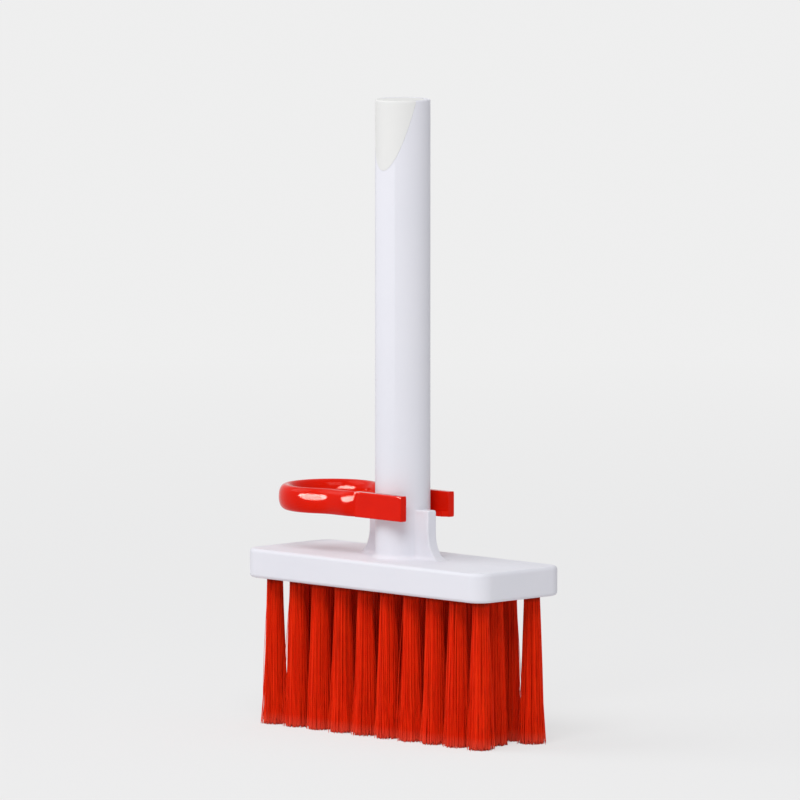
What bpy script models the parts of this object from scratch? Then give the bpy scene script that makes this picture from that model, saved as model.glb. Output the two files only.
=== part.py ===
"""Keyboard cleaning brush: a tufted plate with a hollow handle, a clipped keycap puller and a pen inside.

Metres, +Z up. The brush stands on its bristle tips at Z = 0, with the handle's axis on the Z axis,
the plate's long side along X and its front along -Y.
"""

import math

import bpy
from mathutils import Vector
from mathutils.geometry import delaunay_2d_cdt

# Plate
PLATE_LENGTH = 0.080
PLATE_WIDTH = 0.028
PLATE_THICKNESS = 0.007
PLATE_CORNER_RADIUS = 0.0042
PLATE_EDGE_ROUND = 0.0009

# Bristle tufts
BRISTLE_LENGTH = 0.035
FRONT_ROW_TUFTS = 10
MIDDLE_ROW_TUFTS = 9
ROW_SPACING = 0.0084
TUFT_END_MARGIN = 0.00525
TUFT_TIP_DIAMETER = 0.0053
TUFT_PLUG_DEPTH = 0.0040
STRAND_RADIUS = 0.00032
STRAND_GAP = 0.00006
STRAND_RING_COUNTS = (1, 5, 9)
STRAND_SIDES = 3
TUFT_TURN = math.radians(137.5)

# Handle
HANDLE_DIAMETER = 0.013
HANDLE_HEIGHT = 0.108
HANDLE_WALL = 0.0013
HANDLE_FOOT_FILLET = 0.0009
HANDLE_RIM_ROUND = 0.0004
BORE_FLOOR = 0.0010
MOUTH_CUT_DEPTH = 0.0167
MOUTH_SETBACK = 0.0016

# Fins at the handle's foot
FIN_THICKNESS = 0.0028
FIN_OVERHANG = 0.0034
FIN_HEIGHT = 0.0116
FIN_FLARE_WIDTH = 0.0040
FIN_FLARE_HEIGHT = 0.0066

# Keycap puller
PULLER_HEIGHT = 0.0060
PULLER_LIFT = 0.0094
ARM_THICKNESS = 0.0019
ARM_OVERHANG = 0.0018
PAD_LENGTH = 0.0153
PAD_STEP = 0.0006
NECK_LENGTH = 0.0071
NECK_RADIUS = 0.0120
LOOP_RADIUS = 0.0126
LOOP_THICKNESS = 0.0034
CLAW_REACH = 0.0010
CLAW_HEIGHT = 0.0014
CLAW_LENGTH = 0.0034
CLAW_LEAD = 0.0012
CLAW_INSET = 0.0001

# Pen kept in the handle
PEN_CAP_LENGTH = 0.030
CAP_WALL = 0.0012
SPIGOT_LENGTH = 0.0060
COLLAR_FOOT_DIAMETER = 0.0054
COLLAR_TOP_DIAMETER = 0.0030
COLLAR_LENGTH = 0.0040
NIB_DIAMETER = 0.0016
NIB_TIP_DIAMETER = 0.0008
NIB_LENGTH = 0.0120
NIB_SEAT = 0.0040
BARREL_EDGE_ROUND = 0.0004
SPONGE_DIAMETER = 0.0064
SPONGE_LENGTH = 0.024
SPONGE_SEAT = 0.0050
SPONGE_END_ROUND = 0.0022

# Clearances
SEAT_GAP = 0.0003
PULLER_GAP = 0.0004
NIB_TIP_GAP = 0.0006
PEN_END_GAP = 0.0040
STRAND_MARGIN = 0.0001
SINK = 0.0010

# Facets
ROUND_SEGMENTS = 40
PEN_SEGMENTS = 32
SMALL_SEGMENTS = 16
HOLE_SEGMENTS = 14
PLUG_SEGMENTS = 12
CORNER_SEGMENTS = 6
EDGE_SEGMENTS = 3
FILLET_SEGMENTS = 4
LOOP_SEGMENTS = 12
PULLER_SECTION_POINTS = 16
FLAT_SECTION_POWER = 8.0
OVAL_SECTION_POWER = 2.3
SMOOTH_ANGLE = math.radians(35)

# Heights and radii that follow
PLATE_BOTTOM = BRISTLE_LENGTH
PLATE_TOP = PLATE_BOTTOM + PLATE_THICKNESS
HANDLE_TOP = PLATE_TOP + HANDLE_HEIGHT
HANDLE_RADIUS = HANDLE_DIAMETER / 2
BORE_RADIUS = HANDLE_RADIUS - HANDLE_WALL
BORE_BOTTOM = PLATE_TOP + BORE_FLOOR
MOUTH_SLOPE = MOUTH_CUT_DEPTH / (HANDLE_RADIUS - MOUTH_SETBACK)
STRAND_PITCH = 2 * STRAND_RADIUS + STRAND_GAP
ROOT_RADIUS = (len(STRAND_RING_COUNTS) - 1) * STRAND_PITCH
PLUG_RADIUS = (ROOT_RADIUS + STRAND_RADIUS + STRAND_MARGIN) / math.cos(math.pi / PLUG_SEGMENTS)
HOLE_RADIUS = (PLUG_RADIUS + SEAT_GAP) / math.cos(math.pi / HOLE_SEGMENTS)
PEN_RADIUS = BORE_RADIUS - SEAT_GAP
CAP_BOTTOM = HANDLE_TOP - PEN_CAP_LENGTH
CAP_BORE_RADIUS = PEN_RADIUS - CAP_WALL
BARREL_TOP = CAP_BOTTOM - SEAT_GAP
SPONGE_BOTTOM = BORE_BOTTOM + PEN_END_GAP
BARREL_BOTTOM = SPONGE_BOTTOM + SPONGE_LENGTH
SPIGOT_TOP = BARREL_TOP + SPIGOT_LENGTH
COLLAR_BOTTOM = SPIGOT_TOP + SEAT_GAP
COLLAR_TOP = COLLAR_BOTTOM + COLLAR_LENGTH
NIB_TOP = COLLAR_TOP + NIB_LENGTH
NIB_HOLE_RADIUS = NIB_DIAMETER / 2 + SEAT_GAP
PULLER_BOTTOM = PLATE_TOP + PULLER_LIFT
ARM_INNER = HANDLE_RADIUS + PULLER_GAP
ARM_TIP = HANDLE_RADIUS + ARM_OVERHANG
PAD_END = ARM_TIP - PAD_LENGTH
NECK_X = PAD_END - NECK_LENGTH
NECK_Y = ARM_INNER + LOOP_THICKNESS / 2 + NECK_RADIUS
LOOP_MIDDLE = LOOP_RADIUS - LOOP_THICKNESS / 2
LOOP_X = NECK_X - math.sqrt((LOOP_MIDDLE + NECK_RADIUS) ** 2 - NECK_Y**2)


def clear_scene():
    """Removes every object that is already in the scene."""
    for old in list(bpy.data.objects):
        bpy.data.objects.remove(old, do_unlink=True)


def plastic(name, colour, roughness, metallic=0.0):
    """Returns a Principled material of one colour."""
    material = bpy.data.materials.new(name)
    material.use_nodes = True
    material.diffuse_color = (*colour, 1.0)
    shader = material.node_tree.nodes["Principled BSDF"]
    shader.inputs["Base Color"].default_value = (*colour, 1.0)
    shader.inputs["Roughness"].default_value = roughness
    shader.inputs["Metallic"].default_value = metallic
    return material


def mesh_from(name, vertices, faces):
    """Returns a mesh with its faces shaded smooth up to the edges that stay sharp."""
    mesh = bpy.data.meshes.new(name)
    mesh.from_pydata([tuple(v) for v in vertices], [], faces)
    mesh.update()
    mesh.shade_smooth()
    mesh.set_sharp_from_angle(angle=SMOOTH_ANGLE)
    return mesh


def add_piece(name, mesh, material, parent=None, place=(0.0, 0.0, 0.0), turn=0.0):
    """Adds one named sub-part at its place, turned about its own vertical axis."""
    piece = bpy.data.objects.new(name, mesh)
    bpy.context.collection.objects.link(piece)
    if material is not None and not mesh.materials:
        mesh.materials.append(material)
    piece.location = place
    piece.rotation_euler = (0.0, 0.0, turn)
    piece.parent = parent
    return piece


def add_cutter(name, mesh, place=(0.0, 0.0, 0.0)):
    """Adds a construction body that shapes another piece and is no part itself."""
    cutter = add_piece(name, mesh, None, place=place)
    cutter.hide_render = True
    cutter.display_type = "WIRE"
    return cutter


def shape_with(piece, cutter, operation):
    """Joins a construction body to a piece, or cuts it away."""
    boolean = piece.modifiers.new(f"{operation.lower()}_{cutter.name}", "BOOLEAN")
    boolean.operation = operation
    boolean.object = cutter
    boolean.solver = "EXACT"
    return boolean


def skin(rings, closed=False):
    """Returns the faces between equal rings of points, capped at both ends unless the rings close."""
    count = len(rings[0])
    spans = len(rings) if closed else len(rings) - 1
    faces = []
    for k in range(spans):
        low = k * count
        high = ((k + 1) % len(rings)) * count
        for i in range(count):
            j = (i + 1) % count
            faces.append((low + i, low + j, high + j, high + i))
    if not closed:
        faces.append(tuple(reversed(range(count))))
        faces.append(tuple(range((len(rings) - 1) * count, len(rings) * count)))
    return faces


def arc(centre_r, centre_z, radius, start, end, steps):
    """Returns points of a circular arc in a profile, from one angle to another in degrees."""
    points = []
    for k in range(steps + 1):
        angle = math.radians(start + (end - start) * k / steps)
        points.append((centre_r + radius * math.cos(angle), centre_z + radius * math.sin(angle)))
    return points


def turned(name, profile, segments, closed=False):
    """Turns a profile of radius and height pairs, bottom to top, about the vertical axis."""
    rings = []
    for radius, height in profile:
        ring = []
        for i in range(segments):
            angle = 2 * math.pi * i / segments
            ring.append(Vector((radius * math.cos(angle), radius * math.sin(angle), height)))
        rings.append(ring)
    vertices = [point for ring in rings for point in ring]
    return mesh_from(name, vertices, skin(rings, closed))


def rounded_outline(length, width, radius):
    """Returns the points of a rectangle with round corners, seen from above."""
    points = []
    for corner, (sx, sy) in enumerate(((1, 1), (-1, 1), (-1, -1), (1, -1))):
        centre = Vector((sx * (length / 2 - radius), sy * (width / 2 - radius)))
        for k in range(CORNER_SEGMENTS + 1):
            angle = math.pi / 2 * (corner + k / CORNER_SEGMENTS)
            points.append(centre + radius * Vector((math.cos(angle), math.sin(angle))))
    return points


def plate_mesh():
    """Returns the plate: a slab with round corners and softly rounded upper and lower edges."""
    levels = []
    for k in range(EDGE_SEGMENTS + 1):
        angle = math.pi / 2 * k / EDGE_SEGMENTS
        inset = PLATE_EDGE_ROUND * (1 - math.sin(angle))
        levels.append((inset, PLATE_BOTTOM + PLATE_EDGE_ROUND * (1 - math.cos(angle))))
    for inset, height in reversed(list(levels)):
        levels.append((inset, PLATE_BOTTOM + PLATE_TOP - height))
    rings = []
    for inset, height in levels:
        outline = rounded_outline(
            PLATE_LENGTH - 2 * inset, PLATE_WIDTH - 2 * inset, PLATE_CORNER_RADIUS - inset
        )
        rings.append([Vector((x, y, height)) for x, y in outline])
    vertices = [point for ring in rings for point in ring]
    return mesh_from("brush_body", vertices, skin(rings))


def handle_profile():
    """Returns the outer profile of the handle, from inside the plate to its rounded rim."""
    foot = HANDLE_RADIUS + HANDLE_FOOT_FILLET
    profile = [(foot, PLATE_TOP - SINK)]
    profile += arc(foot, PLATE_TOP + HANDLE_FOOT_FILLET, HANDLE_FOOT_FILLET, 270, 180, FILLET_SEGMENTS)
    rim = HANDLE_RADIUS - HANDLE_RIM_ROUND
    profile += arc(rim, HANDLE_TOP - HANDLE_RIM_ROUND, HANDLE_RIM_ROUND, 0, 90, EDGE_SEGMENTS)
    return profile


def fin_mesh():
    """Returns both foot fins as one bar through the handle, flared where it meets the plate."""
    top = PLATE_TOP + FIN_HEIGHT
    reach = HANDLE_RADIUS + FIN_OVERHANG
    half = [(reach + FIN_FLARE_WIDTH, PLATE_TOP - SINK)]
    for k in range(FILLET_SEGMENTS + 1):
        angle = math.pi / 2 * k / FILLET_SEGMENTS
        x = reach + FIN_FLARE_WIDTH * (1 - math.sin(angle))
        half.append((x, PLATE_TOP + FIN_FLARE_HEIGHT * (1 - math.cos(angle))))
    half.append((reach, top))
    outline = half + [(-x, z) for x, z in reversed(half)]
    rings = []
    for y in (FIN_THICKNESS / 2, -FIN_THICKNESS / 2):
        rings.append([Vector((x, y, z)) for x, z in outline])
    vertices = [point for ring in rings for point in ring]
    return mesh_from("fins", vertices, skin(rings))


def row_places(count, margin_pitches):
    """Returns the places along X of one row of tufts, held in from the ends by so many pitches."""
    pitch = (PLATE_LENGTH - 2 * TUFT_END_MARGIN) / (FRONT_ROW_TUFTS - 1)
    first = -PLATE_LENGTH / 2 + TUFT_END_MARGIN + margin_pitches * pitch
    return [first + i * pitch for i in range(count)]


def tuft_places():
    """Returns the name and place of each tuft, row by row."""
    inset = (FRONT_ROW_TUFTS - MIDDLE_ROW_TUFTS) / 2
    rows = (
        ("front", -ROW_SPACING, FRONT_ROW_TUFTS, 0.0),
        ("middle", 0.0, MIDDLE_ROW_TUFTS, inset),
        ("rear", ROW_SPACING, FRONT_ROW_TUFTS, 0.0),
    )
    places = []
    for row, y, count, margin in rows:
        for i, x in enumerate(row_places(count, margin)):
            places.append((f"tuft_{row}_{i + 1:02d}", Vector((x, y, PLATE_BOTTOM))))
    return places


def tuft_holes_mesh():
    """Returns the blind holes that the tufts are set in, as one set of round cutters."""
    depth = TUFT_PLUG_DEPTH + SEAT_GAP
    vertices = []
    faces = []
    for _, place in tuft_places():
        rings = []
        for height in (-SINK, depth):
            ring = []
            for i in range(HOLE_SEGMENTS):
                angle = 2 * math.pi * i / HOLE_SEGMENTS
                offset = Vector((HOLE_RADIUS * math.cos(angle), HOLE_RADIUS * math.sin(angle), height))
                ring.append(place + offset)
            rings.append(ring)
        start = len(vertices)
        vertices += [point for ring in rings for point in ring]
        faces += [tuple(start + i for i in face) for face in skin(rings)]
    return mesh_from("tuft_holes", vertices, faces)


def mouth_mesh(shift):
    """Returns the wedge above the handle's oblique mouth, moved up by a shift.

    Its lower face falls from a line just in front of the top's middle to the front of the handle.
    """
    half = HANDLE_DIAMETER
    over = HANDLE_TOP + half
    section = [
        (-half, HANDLE_TOP - MOUTH_SLOPE * (half - MOUTH_SETBACK) + shift),
        (half, HANDLE_TOP + MOUTH_SLOPE * (half + MOUTH_SETBACK) + shift),
        (half, over + MOUTH_SLOPE * (half + MOUTH_SETBACK)),
        (-half, over + MOUTH_SLOPE * (half + MOUTH_SETBACK)),
    ]
    rings = []
    for x in (-half, half):
        rings.append([Vector((x, y, z)) for y, z in section])
    vertices = [point for ring in rings for point in ring]
    return mesh_from("mouth", vertices, skin(rings))


def build_brush_body(material):
    """Moulds plate, fins and handle in one, with its tuft holes, bore and oblique mouth."""
    body = add_piece("brush_body", plate_mesh(), material)
    handle = add_cutter("handle_shape", turned("handle_shape", handle_profile(), ROUND_SEGMENTS))
    bore_profile = [(BORE_RADIUS, BORE_BOTTOM), (BORE_RADIUS, HANDLE_TOP + SINK)]
    bore = add_cutter("bore_shape", turned("bore_shape", bore_profile, ROUND_SEGMENTS))
    shape_with(body, add_cutter("fin_shape", fin_mesh()), "UNION")
    shape_with(body, handle, "UNION")
    shape_with(body, bore, "DIFFERENCE")
    shape_with(body, add_cutter("hole_shape", tuft_holes_mesh()), "DIFFERENCE")
    shape_with(body, add_cutter("mouth_shape", mouth_mesh(0.0)), "DIFFERENCE")
    return body


def strand_roots():
    """Returns the middle of each strand in a tuft's root, on rings about the tuft's axis."""
    roots = []
    for ring, count in enumerate(STRAND_RING_COUNTS):
        radius = ring * STRAND_PITCH
        for i in range(count):
            angle = 2 * math.pi * (i + 0.5 * (ring % 2)) / count
            roots.append(radius * Vector((math.cos(angle), math.sin(angle))))
    return roots


def tuft_mesh():
    """Returns one tuft: its bound root in the plate, fused to strands that spread to flat-cut tips."""
    roots = strand_roots()
    spread = (TUFT_TIP_DIAMETER / 2 - STRAND_RADIUS) / ROOT_RADIUS
    rim = []
    for i in range(PLUG_SEGMENTS):
        angle = 2 * math.pi * i / PLUG_SEGMENTS
        rim.append(PLUG_RADIUS * Vector((math.cos(angle), math.sin(angle))))
    strands = []
    for number, root in enumerate(roots):
        ring = []
        for i in range(STRAND_SIDES):
            angle = 2 * math.pi * i / STRAND_SIDES + number * TUFT_TURN
            ring.append(root + STRAND_RADIUS * Vector((math.cos(angle), math.sin(angle))))
        strands.append(ring)
    flat = rim + [point for ring in strands for point in ring]
    first = [PLUG_SEGMENTS + STRAND_SIDES * k for k in range(len(strands))]
    outlines = [list(range(PLUG_SEGMENTS))]
    outlines += [list(range(start, start + STRAND_SIDES)) for start in first]
    cut = delaunay_2d_cdt(flat, [], outlines, 0, 1e-9)
    points, triangles, origins = cut[0], cut[2], cut[3]
    place_of = {origin: i for i, sources in enumerate(origins) for origin in sources}
    vertices = [Vector((x, y, 0.0)) for x, y in points]
    faces = []
    for triangle in triangles:
        owners = {(origins[i][0] - PLUG_SEGMENTS) // STRAND_SIDES for i in triangle}
        if len(owners) > 1 or min(owners) < 0:
            faces.append(tuple(reversed(triangle)))
    lower = [place_of[i] for i in range(PLUG_SEGMENTS)]
    upper = list(range(len(vertices), len(vertices) + PLUG_SEGMENTS))
    vertices += [Vector((x, y, TUFT_PLUG_DEPTH)) for x, y in rim]
    faces.append(tuple(upper))
    for i in range(PLUG_SEGMENTS):
        j = (i + 1) % PLUG_SEGMENTS
        faces.append((lower[i], lower[j], upper[j], upper[i]))
    for root, ring, start in zip(roots, strands, first):
        lean = root * (spread - 1)
        top = [place_of[start + i] for i in range(STRAND_SIDES)]
        tip = list(range(len(vertices), len(vertices) + STRAND_SIDES))
        vertices += [Vector((*(point + lean), -BRISTLE_LENGTH)) for point in ring]
        faces.append(tuple(reversed(tip)))
        for i in range(STRAND_SIDES):
            j = (i + 1) % STRAND_SIDES
            faces.append((top[i], tip[i], tip[j], top[j]))
    mesh = bpy.data.meshes.new("tuft")
    mesh.from_pydata([tuple(v) for v in vertices], [], faces)
    mesh.update()
    return mesh


def build_tufts(material):
    """Sets a tuft in each hole, each one turned a little further than the last."""
    mesh = tuft_mesh()
    tufts = []
    for number, (name, place) in enumerate(tuft_places()):
        tufts.append(add_piece(name, mesh, material, place=place, turn=number * TUFT_TURN))
    return tufts


def around(centre, radius, angle):
    """Returns the point at an angle on a circle, seen from above."""
    return centre + radius * Vector((math.cos(angle), math.sin(angle)))


def puller_path():
    """Returns half of the puller's centre line, seen from above, with its share of round section.

    It runs from the rear arm's tip, along the flat pad and round the neck, to the far end of the ring.
    """
    pad_y = ARM_INNER + ARM_THICKNESS / 2
    round_y = ARM_INNER + LOOP_THICKNESS / 2
    path = [
        (Vector((ARM_TIP, pad_y)), 0.0),
        (Vector((PAD_END, pad_y)), 0.0),
        (Vector((PAD_END - PAD_STEP, round_y)), 1.0),
    ]
    neck = Vector((NECK_X, NECK_Y))
    ring = Vector((LOOP_X, 0.0))
    meet = math.atan2(NECK_Y, NECK_X - LOOP_X)
    for k in range(FILLET_SEGMENTS + 1):
        angle = -math.pi / 2 - (math.pi / 2 - meet) * k / FILLET_SEGMENTS
        path.append((around(neck, NECK_RADIUS, angle), 1.0))
    for k in range(1, LOOP_SEGMENTS + 1):
        angle = meet + (math.pi - meet) * k / LOOP_SEGMENTS
        path.append((around(ring, LOOP_MIDDLE, angle), 1.0))
    return path


def puller_section(share):
    """Returns the puller's section: a flat bar at share 0 and a rounded bar at share 1."""
    power = FLAT_SECTION_POWER + (OVAL_SECTION_POWER - FLAT_SECTION_POWER) * share
    thickness = ARM_THICKNESS + (LOOP_THICKNESS - ARM_THICKNESS) * share
    points = []
    for i in range(PULLER_SECTION_POINTS):
        angle = 2 * math.pi * i / PULLER_SECTION_POINTS
        across = math.copysign(abs(math.cos(angle)) ** (2 / power), math.cos(angle))
        along = math.copysign(abs(math.sin(angle)) ** (2 / power), math.sin(angle))
        points.append((across * thickness / 2, along * PULLER_HEIGHT / 2))
    return points


def puller_mesh():
    """Returns the puller's ring and arms, swept along its centre line from tip to tip."""
    half = puller_path()
    path = half + [(Vector((point.x, -point.y)), share) for point, share in reversed(half[:-1])]
    rings = []
    for k, (point, share) in enumerate(path):
        before = path[max(k - 1, 0)][0]
        after = path[min(k + 1, len(path) - 1)][0]
        heading = (after - before).normalized()
        side = Vector((-heading.y, heading.x))
        ring = []
        for across, height in puller_section(share):
            ring.append(Vector((*(point - side * across), height + PULLER_HEIGHT / 2)))
        rings.append(ring)
    vertices = [point for ring in rings for point in ring]
    return mesh_from("keycap_puller", vertices, skin(rings))


def claw_mesh():
    """Returns both claws: low lips that turn in from the tips of the arms, slanted at their leading ends."""
    vertices = []
    faces = []
    for side in (1, -1):
        inner = side * (ARM_INNER - CLAW_REACH)
        face = side * ARM_INNER
        outer = side * (ARM_INNER + ARM_THICKNESS / 2)
        tip = ARM_TIP - CLAW_INSET
        back = tip - CLAW_LENGTH
        outline = [(back, inner), (tip - CLAW_LEAD, inner), (tip, face), (tip, outer), (back, outer)]
        if side < 0:
            outline.reverse()
        rings = []
        for height in (CLAW_INSET, CLAW_HEIGHT):
            rings.append([Vector((x, y, height)) for x, y in outline])
        start = len(vertices)
        vertices += [point for ring in rings for point in ring]
        faces += [tuple(start + i for i in face) for face in skin(rings)]
    return mesh_from("claws", vertices, faces)


def build_puller(material):
    """Clips the keycap puller across the handle, its origin on the handle's axis."""
    slider = bpy.data.objects.new("puller_slide", None)
    bpy.context.collection.objects.link(slider)
    slider.location = (0.0, 0.0, PULLER_BOTTOM)
    puller = add_piece("keycap_puller", puller_mesh(), material, parent=slider)
    claws = add_cutter("claw_shape", claw_mesh(), place=(0.0, 0.0, PULLER_BOTTOM))
    shape_with(puller, claws, "UNION")
    return puller


def build_pen_cap(material, parent):
    """Shapes the pen's cap: a core in the bore, a wedge flush with the handle and a hollow for the nib."""
    core = [(PEN_RADIUS, CAP_BOTTOM), (PEN_RADIUS, HANDLE_TOP)]
    cap = add_piece("pen_cap", turned("pen_cap", core, ROUND_SEGMENTS), material, parent=parent)
    skirt = [(HANDLE_RADIUS, HANDLE_TOP - MOUTH_CUT_DEPTH)]
    rim = HANDLE_RADIUS - HANDLE_RIM_ROUND
    skirt += arc(rim, HANDLE_TOP - HANDLE_RIM_ROUND, HANDLE_RIM_ROUND, 0, 90, EDGE_SEGMENTS)
    head = add_cutter("head_shape", turned("head_shape", skirt, ROUND_SEGMENTS))
    wedge = add_cutter("wedge_shape", mouth_mesh(SEAT_GAP * math.hypot(1.0, MOUTH_SLOPE)))
    shape_with(head, wedge, "INTERSECT")
    hollow = [(CAP_BORE_RADIUS, CAP_BOTTOM - SINK), (CAP_BORE_RADIUS, NIB_TOP + NIB_TIP_GAP)]
    cavity = add_cutter("cavity_shape", turned("cavity_shape", hollow, PEN_SEGMENTS))
    shape_with(cap, head, "UNION")
    shape_with(cap, cavity, "DIFFERENCE")
    return cap


def build_pen(plastic_material, steel, foam):
    """Builds the pen: cap, barrel, ferrule, nib and sponge, with their origins on the handle's axis."""
    pen = bpy.data.objects.new("pen_slide", None)
    bpy.context.collection.objects.link(pen)
    cap_slider = bpy.data.objects.new("cap_pull", None)
    bpy.context.collection.objects.link(cap_slider)
    cap_slider.parent = pen
    build_pen_cap(plastic_material, cap_slider)
    socket = SPONGE_DIAMETER / 2 + SEAT_GAP
    spigot = CAP_BORE_RADIUS - SEAT_GAP
    edge = BARREL_EDGE_ROUND
    barrel = [
        (socket, BARREL_BOTTOM + SPONGE_SEAT),
        (socket, BARREL_BOTTOM),
        (PEN_RADIUS - edge, BARREL_BOTTOM),
        (PEN_RADIUS, BARREL_BOTTOM + edge),
        (PEN_RADIUS, BARREL_TOP - edge),
        (PEN_RADIUS - edge, BARREL_TOP),
        (spigot, BARREL_TOP),
        (spigot, SPIGOT_TOP),
        (NIB_HOLE_RADIUS, SPIGOT_TOP),
        (NIB_HOLE_RADIUS, SPIGOT_TOP - NIB_SEAT),
    ]
    add_piece("pen_barrel", turned("pen_barrel", barrel, PEN_SEGMENTS), plastic_material, parent=pen)
    collar = [
        (NIB_HOLE_RADIUS, COLLAR_BOTTOM),
        (COLLAR_FOOT_DIAMETER / 2, COLLAR_BOTTOM),
        (COLLAR_TOP_DIAMETER / 2, COLLAR_TOP),
        (NIB_HOLE_RADIUS, COLLAR_TOP),
    ]
    add_piece("nib_collar", turned("nib_collar", collar, SMALL_SEGMENTS, closed=True), steel, parent=pen)
    nib = [
        (NIB_DIAMETER / 2, SPIGOT_TOP - NIB_SEAT + SEAT_GAP),
        (NIB_DIAMETER / 2, COLLAR_TOP + NIB_LENGTH / 3),
        (NIB_TIP_DIAMETER / 2, NIB_TOP),
    ]
    add_piece("metal_nib", turned("metal_nib", nib, SMALL_SEGMENTS), steel, parent=pen)
    core = SPONGE_DIAMETER / 2 - SPONGE_END_ROUND
    sponge = arc(core, SPONGE_BOTTOM + SPONGE_END_ROUND, SPONGE_END_ROUND, -90, 0, FILLET_SEGMENTS)
    sponge.append((SPONGE_DIAMETER / 2, BARREL_BOTTOM + SPONGE_SEAT - SEAT_GAP))
    add_piece("sponge_tip", turned("sponge_tip", sponge, PEN_SEGMENTS), foam, parent=pen)


def build():
    """Builds the whole brush."""
    clear_scene()
    body_white = plastic("body_white", (0.80, 0.80, 0.86), 0.35)
    cap_white = plastic("cap_white", (0.82, 0.82, 0.80), 0.35)
    bristle_red = plastic("bristle_red", (0.62, 0.022, 0.006), 0.5)
    puller_red = plastic("puller_red", (0.72, 0.016, 0.008), 0.15)
    steel = plastic("steel", (0.62, 0.62, 0.63), 0.25, metallic=1.0)
    foam = plastic("foam_white", (0.75, 0.75, 0.75), 0.9)
    build_brush_body(body_white)
    build_tufts(bristle_red)
    build_puller(puller_red)
    build_pen(cap_white, steel, foam)


build()
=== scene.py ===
"""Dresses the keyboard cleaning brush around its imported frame.

Every solid of the frame is stood in for by a finer piece in the same place: the white moulding with
softened edges, each tuft as a bundle of fine filaments, the glossy keycap puller, and the pen that is
kept in the handle. A pale floor, a plain bright world and soft lamps light them.

Lengths are metres. +Z runs up the handle, -Y is the front, and the origin lies on the handle's axis in
the plane of the bristle tips.
"""

import logging
import math
from collections.abc import Callable, Sequence
from dataclasses import dataclass, replace
from enum import Enum

import bmesh
import bpy
import numpy as np
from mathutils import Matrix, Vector


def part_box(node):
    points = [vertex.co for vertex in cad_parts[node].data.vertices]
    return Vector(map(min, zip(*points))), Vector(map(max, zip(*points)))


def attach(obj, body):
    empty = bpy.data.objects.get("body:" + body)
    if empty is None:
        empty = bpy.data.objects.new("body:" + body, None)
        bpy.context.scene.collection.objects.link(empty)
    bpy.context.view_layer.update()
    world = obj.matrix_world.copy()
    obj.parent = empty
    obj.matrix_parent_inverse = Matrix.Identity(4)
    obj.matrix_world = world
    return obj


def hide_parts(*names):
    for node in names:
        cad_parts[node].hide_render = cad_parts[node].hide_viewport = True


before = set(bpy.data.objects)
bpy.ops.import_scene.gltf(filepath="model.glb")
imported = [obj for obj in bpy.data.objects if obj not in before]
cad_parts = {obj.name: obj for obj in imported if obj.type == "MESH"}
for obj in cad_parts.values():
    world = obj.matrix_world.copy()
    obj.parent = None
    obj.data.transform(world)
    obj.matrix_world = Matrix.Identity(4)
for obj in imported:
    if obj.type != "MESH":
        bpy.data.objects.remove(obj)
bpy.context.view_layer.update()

log = logging.getLogger("cleaning_brush")

MM = 0.001
MERGE_DISTANCE = 0.0005 * MM
SHARP_ANGLE = math.radians(32)
# The share of a line that the round at one of its ends may take.
LONGEST_ROUND = 0.45

Ring = list[Vector]
Profile = list[tuple[float, float]]
Colour = tuple[float, float, float]
Socket = bpy.types.NodeSocket
Node = bpy.types.Node
Material = bpy.types.Material
World = bpy.types.World
Mesh = bpy.types.Mesh
Piece = bpy.types.Object


class Body(Enum):
    """The frame's bodies that pieces ride on."""

    BRUSH = "brush"
    PULLER = "puller"
    PEN = "pen"
    CAP = "cap"


class Slot(Enum):
    """The material slots' names."""

    BODY = "body_white"
    CAP = "cap_white"
    BRISTLE = "bristle_red"
    PULLER = "puller_red"
    STEEL = "steel"
    FOAM = "foam_white"


class Shaping(Enum):
    """What one body does to another when a blank is shaped."""

    JOIN = "UNION"
    CUT = "DIFFERENCE"
    TRIM = "INTERSECT"


def skinned(name: str, rings: Sequence[Ring], closed: bool = False) -> Mesh:
    """Makes the skin between rings of equally many points.

    Args:
        name: The mesh's name.
        rings: Rings of points, each one counter-clockwise seen from the last towards the first.
        closed: Whether the last ring joins the first; otherwise both ends are capped.

    Returns:
        A mesh whose faces point out.
    """
    work = bmesh.new()
    rows = [[work.verts.new(point) for point in ring] for ring in rings]
    pairs = list(zip(rows, rows[1:]))
    if closed:
        pairs.append((rows[-1], rows[0]))
    else:
        work.faces.new(tuple(reversed(rows[0])))
        work.faces.new(tuple(rows[-1]))
    for low, high in pairs:
        for i in range(len(low)):
            j = (i + 1) % len(low)
            work.faces.new((low[i], low[j], high[j], high[i]))
    bmesh.ops.remove_doubles(work, verts=work.verts, dist=MERGE_DISTANCE)
    mesh = bpy.data.meshes.new(name)
    work.to_mesh(mesh)
    work.free()
    return mesh


def arc(middle: tuple[float, float], radius: float, start: float, end: float, steps: int) -> Profile:
    """Returns the points of an arc of so many spans, from one angle in degrees to another."""
    angles = [math.radians(start + (end - start) * k / steps) for k in range(steps + 1)]
    return [(middle[0] + radius * math.cos(a), middle[1] + radius * math.sin(a)) for a in angles]


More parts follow.
